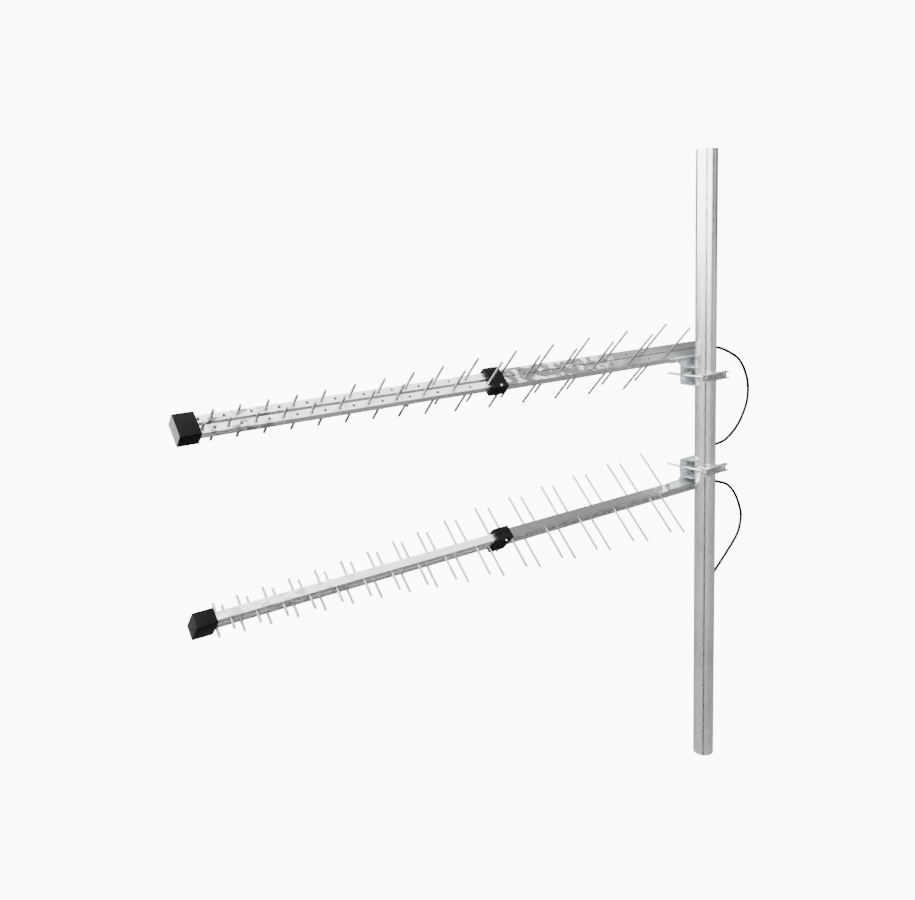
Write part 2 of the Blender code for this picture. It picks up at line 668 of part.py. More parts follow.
tube = lathe(
    (
        (MAST_RADIUS - MAST_WALL, 0),
        (MAST_RADIUS, 0),
        (MAST_RADIUS, MAST_LENGTH),
        (MAST_RADIUS - MAST_WALL, MAST_LENGTH),
    ),
    MAST_SIDES,
)
mast_tube = smooth(place("mast_tube", tube, "galvanised"))
LOWER_Z = UPPER_Z - ARRAY_SPACING
array("upper", UPPER_Z, 1, UPPER_BOLT_OFFSET, UPPER_LOOP, UPPER_GROMMET, mast_tube)
array("lower", LOWER_Z, -1, LOWER_BOLT_OFFSET, LOWER_LOOP, LOWER_GROMMET, mast_tube)
bpy.context.view_layer.update()
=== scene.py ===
"""Looks of two crossed log-periodic antenna arrays clamped to a round mast.

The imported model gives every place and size. This script dresses its pieces in
procedural finishes, adds the fine pieces (round rods with their swaged collars,
threaded bolts, cast wing nuts, moulded caps and the coax loops) and sets up a
plain studio, whose floor and surround glow white to the camera only. Units are
metres and +Z is up.
"""

from __future__ import annotations

import logging
import math
from dataclasses import dataclass, field
from enum import Enum
from typing import Any, Iterable, Sequence, Union

import bmesh
import bpy
from mathutils import Matrix, Vector

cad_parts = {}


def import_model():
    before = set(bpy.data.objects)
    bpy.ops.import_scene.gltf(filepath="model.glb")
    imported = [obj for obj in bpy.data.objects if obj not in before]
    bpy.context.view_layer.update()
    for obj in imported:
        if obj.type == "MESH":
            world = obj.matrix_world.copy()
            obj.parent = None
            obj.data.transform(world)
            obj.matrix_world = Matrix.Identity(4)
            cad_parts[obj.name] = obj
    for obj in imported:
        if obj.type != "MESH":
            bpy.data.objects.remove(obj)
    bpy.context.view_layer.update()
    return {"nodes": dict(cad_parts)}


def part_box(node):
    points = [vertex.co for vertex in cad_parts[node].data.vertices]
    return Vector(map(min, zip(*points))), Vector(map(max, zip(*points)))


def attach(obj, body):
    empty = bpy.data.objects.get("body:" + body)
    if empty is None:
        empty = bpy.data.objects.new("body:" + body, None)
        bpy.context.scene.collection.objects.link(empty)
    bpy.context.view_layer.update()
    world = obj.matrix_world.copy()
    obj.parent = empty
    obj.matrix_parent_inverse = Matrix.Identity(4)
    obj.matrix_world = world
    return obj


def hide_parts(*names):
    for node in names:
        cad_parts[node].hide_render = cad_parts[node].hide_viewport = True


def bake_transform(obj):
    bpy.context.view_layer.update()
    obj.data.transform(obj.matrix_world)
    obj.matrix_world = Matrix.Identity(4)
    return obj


LOG = logging.getLogger("antenna")
MM = 0.001
FINE_SIDES = 20
MAST_SIDES = 192

Colour = tuple[float, float, float]
Value = Union["Wire", float, int, Colour, Vector]


class Wire:
    """An output socket that takes part in shader expressions."""

    def __init__(self, graph: "Graph", socket: bpy.types.NodeSocket) -> None:
        """Keeps the socket and the graph that its expressions grow in.

        Args:
            graph: the graph that owns the socket.
            socket: the output socket.
        """
        self.graph = graph
        self.socket = socket

    def _math(self, operation: str, first: Value, second: Value = 0.0) -> "Wire":
        """A Math node on two values.

        Args:
            operation: the Math node's operation.
            first: the first value.
            second: the second value.

        Returns:
            The result.
        """
        return self.graph.node("ShaderNodeMath", {"operation": operation}, (first, second))

    def __add__(self, other: Value) -> "Wire":
        """self + other."""
        return self._math("ADD", self, other)

    def __radd__(self, other: Value) -> "Wire":
        """other + self."""
        return self._math("ADD", other, self)

    def __sub__(self, other: Value) -> "Wire":
        """self - other."""
        return self._math("SUBTRACT", self, other)

    def __rsub__(self, other: Value) -> "Wire":
        """other - self."""
        return self._math("SUBTRACT", other, self)

    def __mul__(self, other: Value) -> "Wire":
        """self * other."""
        return self._math("MULTIPLY", self, other)

    def __rmul__(self, other: Value) -> "Wire":
        """other * self."""
        return self._math("MULTIPLY", other, self)

    def __truediv__(self, other: Value) -> "Wire":
        """self / other."""
        return self._math("DIVIDE", self, other)

    def __abs__(self) -> "Wire":
        """The absolute value."""
        return self._math("ABSOLUTE", self)

    def over(self, level: float) -> "Wire":
        """1 where the value is above a level, else 0."""
        return self._math("GREATER_THAN", self, level)

    def eased(self, low: float, high: float) -> "Wire":
        """0 at low and below, 1 at high and above, smooth between.

        Args:
            low: where the rise starts.
            high: where the rise ends.

        Returns:
            The eased value.
        """
        return self.graph.node(
            "ShaderNodeMapRange", {"interpolation_type": "SMOOTHSTEP"}, {0: self, 1: low, 2: high}
        )


class Graph:
    """The node tree of one material, with a Principled shader at its end."""

    def __init__(self, name: str) -> None:
        """Starts an empty material.

        Args:
            name: the material's name.
        """
        self.material = bpy.data.materials.new(name)
        self.material.use_nodes = True
        self.tree = self.material.node_tree
        self.shader = self.tree.nodes["Principled BSDF"]

    def node(
        self,
        kind: str,
        settings: dict[str, Any] | None = None,
        values: Sequence[Value] | dict[Any, Value] = (),
        out: int | str = 0,
    ) -> Wire:
        """Adds one node, sets it up and fills its sockets.

        Args:
            kind: the node's type.
            settings: its settings, set first; "stops" holds a ramp's stops.
            values: values or wires, by position or by socket name or index.
            out: the output to return.

        Returns:
            The output socket's wire.
        """
        made = self.tree.nodes.new(kind)
        for key, value in (settings or {}).items():
            if key == "stops":
                self._stops(made.color_ramp, value)
            else:
                setattr(made, key, value)
        pairs = values.items() if isinstance(values, dict) else enumerate(values)
        for key, value in pairs:
            self.plug(made.inputs[key], value)
        return Wire(self, made.outputs[out])

    def _stops(self, ramp: bpy.types.ColorRamp, stops: Iterable[tuple[float, Colour]]) -> None:
        """Sets a ramp's stops.

        Args:
            ramp: the ramp.
            stops: places and colours, lowest place first.
        """
        for index, (place, colour) in enumerate(stops):
            stop = ramp.elements[index] if index < 2 else ramp.elements.new(place)
            stop.position = place
            stop.color = (*colour, 1)

    def plug(self, socket: bpy.types.NodeSocket, value: Value) -> None:
        """Links a wire to a socket, or writes a value into it.

        Args:
            socket: the input socket.
            value: a wire, a number, a colour or a vector.
        """
        if isinstance(value, Wire):
            self.tree.links.new(value.socket, socket)
        elif isinstance(value, (tuple, Vector)) and socket.type == "RGBA":
            socket.default_value = (*value, 1)
        else:
            socket.default_value = value

    def mix(self, factor: Value, first: Value, second: Value) -> Wire:
        """A colour mix.

        Args:
            factor: 0 for the first colour, 1 for the second.
            first: the first colour.
            second: the second colour.

        Returns:
            The mixed colour.
        """
        return self.node("ShaderNodeMix", {"data_type": "RGBA"}, {0: factor, 6: first, 7: second}, 2)

    def place(self) -> Wire:
        """The object's own coordinates, which are the model's."""
        return self.node("ShaderNodeTexCoord", out="Object")

    def facing(self, way: Vector) -> Wire:
        """How much the surface faces a way, from -1 to 1.

        Args:
            way: a unit vector in the model's frame.

        Returns:
            The cosine.
        """
        normal = self.node("ShaderNodeTexCoord", out="Normal")
        return self.node("ShaderNodeVectorMath", {"operation": "DOT_PRODUCT"}, (normal, way), "Value")

    def noise(self, scale: float, stretch: Sequence[float] = (1, 1, 1), detail: float = 3.0) -> Wire:
        """Smooth noise in the model's frame, about 0.5.

        Args:
            scale: cells in a metre.
            stretch: multiplies the coordinates, so 0.1 makes streaks along that axis.
            detail: octaves.

        Returns:
            The noise.
        """
        spread = self.node("ShaderNodeMapping", None, {"Vector": self.place(), "Scale": Vector(stretch)})
        return self.node("ShaderNodeTexNoise", None, {"Vector": spread, "Scale": scale, "Detail": detail})

    def bump(self, height: Wire, strength: float, distance: float) -> None:
        """Feeds a bump to the shader's normal.

        Args:
            height: the height, from 0 to 1.
            strength: the bump's strength.
            distance: the real height of 1, in metres.
        """
        raised = self.node(
            "ShaderNodeBump", None, {"Strength": strength, "Distance": distance, "Height": height}
        )
        self.set(Normal=raised)

    def set(self, **values: Value) -> None:
        """Feeds the shader's sockets, with _ for a space in a name."""
        for key, value in values.items():
            self.plug(self.shader.inputs[key.replace("_", " ")], value)


@dataclass(frozen=True)
class Galvanised:
    """Dipped zinc on the mast, with long drawn bands, faint spangle and a painted dark reflection line
    down the side toward the camera.
    """

    pale: Colour = (0.92, 0.93, 0.94)
    dull: Colour = (0.08, 0.082, 0.085)
    worn_share: float = 0.62
    seam_start: float = 0.03
    seam_end: float = 0.13
    roughness: float = 0.12

    def make(self, name: str) -> bpy.types.Material:
        """Builds the material.

        Args:
            name: its name.

        Returns:
            The material.
        """
        graph = Graph(name)
        spangle = graph.node(
            "ShaderNodeTexVoronoi", {"feature": "F1"}, {"Vector": graph.place(), "Scale": 150.0}, "Color"
        )
        flakes = graph.node("ShaderNodeSeparateColor", None, (spangle,))
        streak = graph.noise(90, (1, 1, 0.03), 4)
        cloud = graph.noise(14, (1, 1, 0.35), 2)
        wear = (streak * 0.4 + flakes * 0.15 + cloud * 0.45).eased(0.22, 0.6)
        # A painted dark reflection line, mixed towards the dull colour below.
        reflection_line = self._seam(graph)
        tone = graph.mix(wear, self.dull_mix(self.worn_share), self.pale)
        graph.set(Base_Color=graph.mix(reflection_line * (0.55 + flakes * 0.45), tone, self.dull))
        graph.set(Metallic=0.95, Roughness=self.roughness + wear * 0.1)
        graph.bump(streak * 0.6 + flakes * 0.4, 0.25, 0.00012)
        return graph.material

    def dull_mix(self, share: float) -> Colour:
        """A colour between dull and pale.

        Args:
            share: 0 for dull, 1 for pale.

        Returns:
            The colour.
        """
        return tuple(low + (high - low) * share for low, high in zip(self.dull, self.pale))

    def _seam(self, graph: Graph) -> Wire:
        """A painted dark reflection line: a thin darker band down the side toward the camera.

        Args:
            graph: the graph to build in.

        Returns:
            1 on the line, 0 off it.
        """
        across = graph.facing(Vector((math.cos(REFLECTION_LINE_ANGLE), math.sin(REFLECTION_LINE_ANGLE), 0)))
        side = graph.facing(Vector((-math.sin(REFLECTION_LINE_ANGLE), math.cos(REFLECTION_LINE_ANGLE), 0)))
        return (1 - abs(side).eased(self.seam_start, self.seam_end)) * across.over(0.0)


# The azimuth of the painted dark reflection line, which is the camera's side of the mast.
REFLECTION_LINE_ANGLE = math.radians(-141)


@dataclass(frozen=True)
class Aluminium:
    """Drawn aluminium: fine lines along the boom, painted light and shade on its downward faces, and a
    cloudy painted reflection patch.
    """

    pale: Colour = (0.84, 0.85, 0.86)
    shade: Colour = (0.80, 0.81, 0.82)
    shaded_way: tuple[float, float, float] = (0.0, -0.7071, -0.7071)
    blotch: Colour = (0.50, 0.51, 0.52)
    blotch_from: float = -0.9
    blotch_to: float = -1.0
    roughness: float = 0.26

    def make(self, name: str) -> bpy.types.Material:
        """Builds the material.

        Args:
            name: its name.

        Returns:
            The material.
        """
        graph = Graph(name)
        lines = graph.noise(700, (0.012, 1, 1), 4)
        cloud = graph.noise(70, (0.7, 1, 1), 4)
        # Painted light and shade: faces turned the shaded way take the shade colour.
        painted_side_mask = graph.facing(Vector(self.shaded_way)).eased(0.45, 0.9)
        tone = graph.mix(painted_side_mask, self.pale, self.shade)
        worn = tuple(channel * 0.7 for channel in self.pale)
        tone = graph.mix((cloud * 0.6 + lines * 0.4).eased(0.42, 0.72) * 0.5, tone, worn)
        # A cloudy patch of painted reflection over a stretch of the boom's length.
        along = graph.node("ShaderNodeSeparateXYZ", None, (graph.place(),))
        near = along.eased(self.blotch_from, self.blotch_to)
        tone = graph.mix(cloud.eased(0.49, 0.6) * near, tone, self.blotch)
        graph.set(Base_Color=tone, Metallic=0.95, Roughness=self.roughness + lines * 0.16)
        graph.bump(lines, 0.3, 0.00006)
        return graph.material


@dataclass(frozen=True)
class RodMetal:
    """Drawn rod: grey, with a slightly duller skin."""

    pale: Colour = (0.55, 0.56, 0.57)
    roughness: float = 0.36

    def make(self, name: str) -> bpy.types.Material:
        """Builds the material.

        Args:
            name: its name.

        Returns:
            The material.
        """
        graph = Graph(name)
        grain = graph.noise(420, (1, 0.08, 0.08), 3)
        dull = tuple(channel * 0.7 for channel in self.pale)
        graph.set(Base_Color=graph.mix(grain.eased(0.35, 0.7), self.pale, dull))
        graph.set(Metallic=0.88, Roughness=self.roughness + grain * 0.12)
        graph.bump(grain, 0.15, 0.00005)
        return graph.material


@dataclass(frozen=True)
class ZincPlate:
    """Plated sheet or hardware: a cool grey with soft clouds and fine grain."""

    pale: Colour = (0.66, 0.70, 0.72)
    dark: Colour = (0.36, 0.39, 0.40)
    roughness: float = 0.36
    grain: float = 900.0

    def make(self, name: str) -> bpy.types.Material:
        """Builds the material.

        Args:
            name: its name.

        Returns:
            The material.
        """
        graph = Graph(name)
        cloud = graph.noise(60, (1, 1, 1), 5)
        fine = graph.noise(self.grain, (1, 1, 1), 2)
        mask = (cloud * 0.7 + fine * 0.3).eased(0.36, 0.66)
        graph.set(Base_Color=graph.mix(mask, self.dark, self.pale), Metallic=0.85)
        graph.set(Roughness=self.roughness + fine * 0.14)
        graph.bump(fine, 0.25, 0.00008)
        return graph.material


@dataclass(frozen=True)
class Moulded:
    """Moulded plastic or rubber with a fine spark grain."""

    colour: Colour = (0.004, 0.004, 0.005)
    rubbed: Colour = (0.012, 0.012, 0.013)
    roughness: float = 0.38
    sheen: float = 0.06
    grain: float = 1600.0
    depth: float = 0.00008

    def make(self, name: str) -> bpy.types.Material:
        """Builds the material.

        Args:
            name: its name.

        Returns:
            The material.
        """
        graph = Graph(name)
        fine = graph.noise(self.grain, (1, 1, 1), 2)
        dust = graph.noise(45, (1, 1, 1), 4)
        graph.set(Base_Color=graph.mix(dust.eased(0.5, 0.8) * 0.5, self.colour, self.rubbed))
        graph.set(Metallic=0.0, Roughness=self.roughness + fine * 0.16, Specular_IOR_Level=self.sheen)
        graph.bump(fine, 0.35, self.depth)
        return graph.material


@dataclass(frozen=True)
class CapPlastic:
    """Black moulding whose front (-X) face takes its own paler colour."""

    colour: Colour = (0.004, 0.004, 0.005)
    front: Colour = (0.5, 0.5, 0.5)
    roughness: float = 0.34

    def make(self, name: str) -> bpy.types.Material:
        """Builds the material.

        Args:
            name: its name.

        Returns:
            The material.
        """
        graph = Graph(name)
        fine = graph.noise(1500, (1, 1, 1), 2)
        # The front (-X) face takes the front colour.
        front_face_mask = graph.facing(Vector((-1, 0, 0))).eased(0.45, 0.85)
        dust = graph.noise(60, (1, 1, 1), 4).eased(0.3, 0.8)
        graph.set(Base_Color=graph.mix(front_face_mask * (0.8 + dust * 0.2), self.colour, self.front))
        graph.set(Roughness=self.roughness + fine * 0.2, Specular_IOR_Level=0.06)
        graph.bump(fine, 0.3, 0.00006)
        return graph.material


class Side(Enum):
    """The two arrays, with the way each one leans."""

    UPPER = 1
    LOWER = -1

    @property
    def label(self) -> str:
        """The start of its pieces' names."""
        return self.name.lower()


def mesh_piece(name: str, shape: bmesh.types.BMesh, body: str, smooth: float = 35) -> bpy.types.Object:
    """Makes an object of a bmesh and rides it on a body.

    Args:
        name: the piece's name.
        shape: the bmesh, which is freed.
        body: the CAD body that carries it.
        smooth: corners sharper than this many degrees stay sharp.

    Returns:
        The piece.
    """
    mesh = bpy.data.meshes.new(name)
    bmesh.ops.recalc_face_normals(shape, faces=shape.faces)
    shape.to_mesh(mesh)
    shape.free()
    mesh.shade_smooth()
    mesh.set_sharp_from_angle(angle=math.radians(smooth))
    piece = bpy.data.objects.new(name, mesh)
    bpy.context.scene.collection.objects.link(piece)
    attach(piece, body)
    LOG.info("%s: %d faces on %s", name, len(mesh.polygons), body)
    return piece


def dress(piece: bpy.types.Object, material: bpy.types.Material) -> None:
    """Gives an object one material.

    Args:
        piece: the object.
        material: the material.
    """
    piece.data.materials.clear()
    piece.data.materials.append(material)


def lathe(
    shape: bmesh.types.BMesh,
    profile: Sequence[tuple[float, float]],
    place: Matrix,
    sides: int = FINE_SIDES,
    closed: bool = False,
) -> None:
    """Adds a turned form: (radius, height) points round the local Z axis.

    Args:
        shape: the bmesh to add to.
        profile: the points, in order; an open profile starts and ends on flat caps.
        place: where the turned form stands.
        sides: facets round it.
        closed: True for a ring whose profile comes back to its start.
    """
    rings = []
    for radius, height in profile:
        turn = [2 * math.pi * index / sides for index in range(sides)]
        points = [Vector((radius * math.cos(a), radius * math.sin(a), height)) for a in turn]
        rings.append([shape.verts.new(place @ point) for point in points])
    pairs = list(zip(rings, rings[1:])) + ([(rings[-1], rings[0])] if closed else [])
    for low, high in pairs:
        for index in range(sides):
            after = (index + 1) % sides
            shape.faces.new((low[index], low[after], high[after], high[index]))
    if not closed:
        shape.faces.new(rings[0])
        shape.faces.new(rings[-1])


def stand(at: Vector, way: Vector) -> Matrix:
    """A matrix that puts local Z along a way.

    Args:
        at: the origin.
        way: the direction.

    Returns:
        The matrix.
    """
    return Matrix.Translation(at) @ way.to_track_quat("Z", "Y").to_matrix().to_4x4()


def prism(
    shape: bmesh.types.BMesh,
    outline: Sequence[tuple[float, float]],
    half: float,
    place: Matrix,
    edge: float,
) -> None:
    """Adds a thick flat form with rounded edges.

    Args:
        shape: the bmesh to add to.
        outline: its corners in the local X and Z.
        half: half its thickness along the local Y.
        place: where it stands.
        edge: the width of its edge rounding.
    """
    part = bmesh.new()
    corners = [part.verts.new((x, -half, z)) for x, z in outline]
    grown = bmesh.ops.extrude_face_region(part, geom=[part.faces.new(corners)])
    moved = [item for item in grown["geom"] if isinstance(item, bmesh.types.BMVert)]
    bmesh.ops.translate(part, verts=moved, vec=(0, 2 * half, 0))
    bmesh.ops.bevel(part, geom=part.edges[:], offset=edge, segments=3, affect="EDGES", profile=0.5)
    part.transform(place)
    copy = {vert: shape.verts.new(vert.co) for vert in part.verts}
    for face in part.faces:
        shape.faces.new([copy[vert] for vert in face.verts])
    part.free()


@dataclass
class Boom:
    """One array's channels, rods, nose cap, splice and rear end."""

    side: Side
    nodes: dict[str, bpy.types.Object]
    rod_radius: float = 2.44 * MM
    rod_taper: float = 0.5 * MM
    collar_radius: float = 3.7 * MM
    collar_height: float = 0.9 * MM
    rim_radius: float = 2.9 * MM
    rim_wire: float = 0.5 * MM
    tip_margin: float = 3 * MM
    cap_edge: float = 1.6 * MM
    cap_front: Colour = (0.012, 0.012, 0.013)
    tone: Aluminium = field(default_factory=Aluminium)
    rear_tone: Aluminium = field(default_factory=Aluminium)
    rods: RodMetal = field(default_factory=RodMetal)

    @property
    def label(self) -> str:
        """The start of its pieces' names."""
        return self.side.label

    @property
    def body(self) -> str:
        """The body that carries it."""
        return f"{self.label}_array"

    def frame(self) -> Matrix:
        """The boom's own frame: X along it, Z along the rods, -Y the near side."""
        low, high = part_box(f"{self.label}_nose_cap")
        centre = (low + high) / 2
        turn = Matrix.Rotation(self.side.value * math.pi / 4, 4, "X")
        return Matrix.Translation((0, centre.y, centre.z)) @ turn

    def tips(self, node: str, half: float) -> list[Vector]:
        """The rod tips of one channel, in the boom's frame.

        Args:
            node: the channel's node.
            half: half the channel's width.

        Returns:
            One point a rod, nose first.
        """
        back = self.frame().inverted()
        points = [back @ vert.co for vert in self.nodes[node].data.vertices]
        far = sorted((p for p in points if abs(p.z) > half + self.tip_margin), key=lambda p: p.x)
        groups: list[list[Vector]] = []
        for point in far:
            if groups and point.x - groups[-1][-1].x < self.tip_margin:
                groups[-1].append(point)
            else:
                groups.append([point])
        tips = []
        for group in groups:
            middle = (group[0].x + group[-1].x) / 2
            across = sum(p.y for p in group) / len(group)
            tips.append(Vector((middle, across, max((p.z for p in group), key=abs))))
        return tips

    def channel_half(self, node: str) -> float:
        """Half a channel's width, read from the end where no rod stands.

        Args:
            node: the channel's node.

        Returns:
            The half width.
        """
        back = self.frame().inverted()
        points = [back @ vert.co for vert in self.nodes[node].data.vertices]
        first = min(p.x for p in points)
        return max(abs(p.z) for p in points if p.x < first + 1 * MM)

    def build_rods(self, node: str) -> None:
        """Adds the round rods of one channel with their collars and rims.

        Args:
            node: the channel's node.
        """
        half = self.channel_half(node)
        place = self.frame()
        shape = bmesh.new()
        for tip in self.tips(node, half):
            way = math.copysign(1, tip.z)
            foot = Vector((tip.x, tip.y, way * half))
            length = abs(tip.z) - half
            local = place @ stand(foot, Vector((0, 0, way)))
            lathe(
                shape,
                (
                    (self.rod_radius, -0.3 * MM),
                    (self.rod_radius, length - self.rod_taper),
                    (self.rod_radius - self.rod_taper, length),
                ),
                local,
            )
            lathe(
                shape,
                (
                    (self.collar_radius, -0.1 * MM),
                    (self.collar_radius, self.collar_height * 0.4),
                    (self.collar_radius - 0.5 * MM, self.collar_height * 0.8),
                    (self.rod_radius + 0.1 * MM, self.collar_height),
                ),
                local,
            )
            self._rim(shape, place @ stand(Vector((tip.x, tip.y, -way * half)), Vector((0, 0, -way))))
        piece = mesh_piece(f"{node}_rods", shape, self.body, 50)
        dress(piece, self.rods.make(f"{node}_rod_metal"))

    def _rim(self, shape: bmesh.types.BMesh, place: Matrix) -> None:
        """Adds the rolled rim of a rod's swaged end.

        Args:
            shape: the bmesh to add to.
            place: where the rim lies.
        """
        turns = [math.pi * 2 * index / 8 for index in range(8)]
        profile = [
            (self.rim_radius + self.rim_wire * math.cos(a), self.rim_wire * math.sin(a)) for a in turns
        ]
        lathe(shape, profile, place, 14, True)

    def build_cap(self) -> None:
        """Replaces the nose cap with a moulded block with soft edges."""
        place = self.frame()
        back = place.inverted()
        points = [back @ vert.co for vert in self.nodes[f"{self.label}_nose_cap"].data.vertices]
        low = Vector([min(p[axis] for p in points) for axis in range(3)])
        high = Vector([max(p[axis] for p in points) for axis in range(3)])
        size, middle = high - low, (high + low) / 2
        half_n, half_e = size.y / 2, size.z / 2
        outline = ((-half_n, -half_e), (half_n, -half_e), (half_n, half_e), (-half_n, half_e))
        spin = Matrix.Rotation(-math.pi / 2, 4, "Z")
        shape = bmesh.new()
        prism(shape, outline, size.x / 2, place @ Matrix.Translation(middle) @ spin, self.cap_edge)
        cap = mesh_piece(f"{self.label}_nose_shell", shape, self.body, 60)
        dress(cap, CapPlastic(front=self.cap_front).make(f"{self.label}_cap_plastic"))
        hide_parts(f"{self.label}_nose_cap")

    def dress_nodes(self) -> None:
        """Gives the kept nodes their finishes."""
        for section in ("front", "rear"):
            for label in ("near", "far"):
                node = f"{self.label}_{section}_channel_{label}"
                tone = self.tone if section == "front" else self.rear_tone
                dress(self.nodes[node], tone.make(f"{node}_skin"))
        for node in ("splice_shell_top", "splice_shell_bottom", "rear_spacer", "cable_gland"):
            full = f"{self.label}_{node}"
            dress(self.nodes[full], Moulded(roughness=0.42).make(f"{full}_plastic"))
        brass = ZincPlate(pale=(0.70, 0.52, 0.24), dark=(0.50, 0.36, 0.16), roughness=0.3)
        dress(self.nodes[f"{self.label}_feed_link"], brass.make(f"{self.label}_link_brass"))
        jacket = Moulded(colour=(0.012, 0.012, 0.014), roughness=0.3, depth=0.00004)
        dress(self.nodes[f"{self.label}_feed_coax"], jacket.make(f"{self.label}_feed_jacket"))
        bright = ZincPlate(pale=(0.62, 0.63, 0.62), dark=(0.40, 0.41, 0.40), roughness=0.28)
        for node in ("splice_screw_near", "splice_screw_far", "plate_screw_front", "plate_screw_rear"):
            full = f"{self.label}_{node}"
            dress(self.nodes[full], bright.make(f"{full}_zinc"))

    def build(self) -> None:
        """Builds and dresses the whole boom."""
        self.dress_nodes()
        for section in ("front", "rear"):
            for label in ("near", "far"):
                self.build_rods(f"{self.label}_{section}_channel_{label}")
        self.build_cap()


@dataclass
class MastClamp:
    """One array's mount plate, saddle bracket, bar, bolts and wing nuts."""

    side: Side
    nodes: dict[str, bpy.types.Object]
    thread_pitch: float = 1.0 * MM
    thread_depth: float = 0.35 * MM
    bolt_radius: float = 3.0 * MM
    head_radius: float = 5.5 * MM
    head_height: float = 4.0 * MM
    wing_half: float = 1.15 * MM
    nut_radius: float = 6.5 * MM
    nut_height: float = 8.0 * MM
    wing_reach: float = 16.5 * MM
    wing_height: float = 17 * MM

    @property
    def label(self) -> str:
        """The start of its pieces' names."""
        return self.side.label

    def bolt(self, label: str, finish: ZincPlate) -> None:
        """Replaces a bolt with a threaded one with a chamfered hex head.

        Args:
            label: left or right.
            finish: its finish.
        """
        node = f"{self.label}_clamp_bolt_{label}"
        low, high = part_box(node)
        x, z = (low.x + high.x) / 2, (low.z + high.z) / 2
        head_end = self.head_height
        length = high.y - low.y
        shape = bmesh.new()
        place = stand(Vector((x, low.y, z)), Vector((0, 1, 0)))
        hexagon = (
            (self.head_radius * 0.86, 0.0),
            (self.head_radius, 0.5 * MM),
            (self.head_radius, head_end),
        )
        lathe(shape, hexagon, place, 6)
        profile = [(self.bolt_radius - self.thread_depth, head_end - 1 * MM)]
        turns = int((length - head_end - 1 * MM) / self.thread_pitch)
        for turn in range(turns):
            height = head_end + turn * self.thread_pitch
            profile.append((self.bolt_radius - self.thread_depth, height))
            profile.append((self.bolt_radius, height + self.thread_pitch / 2))
        profile.append((self.bolt_radius - self.thread_depth - 0.3 * MM, length))
        lathe(shape, profile, place, 16)
        piece = mesh_piece(f"{node}_threaded", shape, f"{self.label}_jaw", 25)
        dress(piece, finish.make(f"{node}_zinc"))
        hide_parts(node)

    def nut(self, label: str, turn: float, finish: ZincPlate) -> None:
        """Replaces a wing nut with a cast one.

        Args:
            label: left or right.
            turn: how far its wings are turned from level, in radians.
            finish: its finish.
        """
        node = f"{self.label}_wing_nut_{label}"
        low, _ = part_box(node)
        bolt_low, bolt_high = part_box(f"{self.label}_clamp_bolt_{label}")
        axis_x, axis_z = (bolt_low.x + bolt_high.x) / 2, (bolt_low.z + bolt_high.z) / 2
        place = stand(Vector((axis_x, low.y, axis_z)), Vector((0, 1, 0)))
        shape = bmesh.new()
        bore = self.bolt_radius + 0.1 * MM
        body = (
            (bore, 0),
            (self.nut_radius, 0),
            (self.nut_radius, 0.8 * MM),
            (self.nut_radius - 0.6 * MM, self.nut_height * 0.6),
            (self.nut_radius - 1.2 * MM, self.nut_height),
            (bore, self.nut_height),
        )
        lathe(shape, body, place, 28, True)
        base = Matrix.Translation((axis_x, low.y, axis_z)) @ Matrix.Rotation(turn, 4, "Y")
        for way in (-1, 1):
            outline = (
                (way * (self.nut_radius - 2 * MM), 1.5 * MM),
                (way * (self.wing_reach - 5 * MM), 4.0 * MM),
                (way * (self.wing_reach - 1.4 * MM), 7.6 * MM),
                (way * self.wing_reach, 10 * MM),
                (way * self.wing_reach, self.wing_height - 2.4 * MM),
                (way * (self.wing_reach - 0.9 * MM), self.wing_height - 0.8 * MM),
                (way * (self.wing_reach - 3 * MM), self.wing_height),
                (way * (self.wing_reach - 5 * MM), self.wing_height - 1.2 * MM),
                (way * (self.wing_reach - 6.6 * MM), self.wing_height - 3.6 * MM),
                (way * (self.nut_radius - 1.5 * MM), self.nut_height - 0.6 * MM),
            )
            flip = Matrix.Rotation(-math.pi / 2, 4, "X") @ Matrix.Rotation(math.pi, 4, "X")
            prism(shape, outline, self.wing_half, base @ flip, 0.6 * MM)
        piece = mesh_piece(f"{node}_cast", shape, f"{self.label}_nut_{label}", 50)
        dress(piece, finish.make(f"{node}_zinc"))
        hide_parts(node)

    def build(self) -> None:
        """Builds and dresses the whole clamp."""
        plate = ZincPlate()
        for node in ("mount_plate", "saddle_bracket"):
            full = f"{self.label}_{node}"
            dress(self.nodes[full], plate.make(f"{full}_zinc"))
        bar = ZincPlate(pale=(0.50, 0.52, 0.52), dark=(0.30, 0.32, 0.32), roughness=0.38)
        dress(self.nodes[f"{self.label}_clamp_bar"], bar.make(f"{self.label}_bar_zinc"))
        bright = ZincPlate(pale=(0.66, 0.66, 0.64), dark=(0.42, 0.43, 0.42), roughness=0.27)
        for node in ("bracket_rivet_top", "bracket_rivet_bottom"):
            full = f"{self.label}_{node}"
            dress(self.nodes[full], bright.make(f"{full}_zinc"))
        turns = {
            ("upper", "left"): 30,
            ("upper", "right"): -20,
            ("lower", "left"): 0,
            ("lower", "right"): -8,
        }
        for label in ("left", "right"):
            self.bolt(label, bright)
            self.nut(label, math.radians(-turns[self.label, label]), bright)


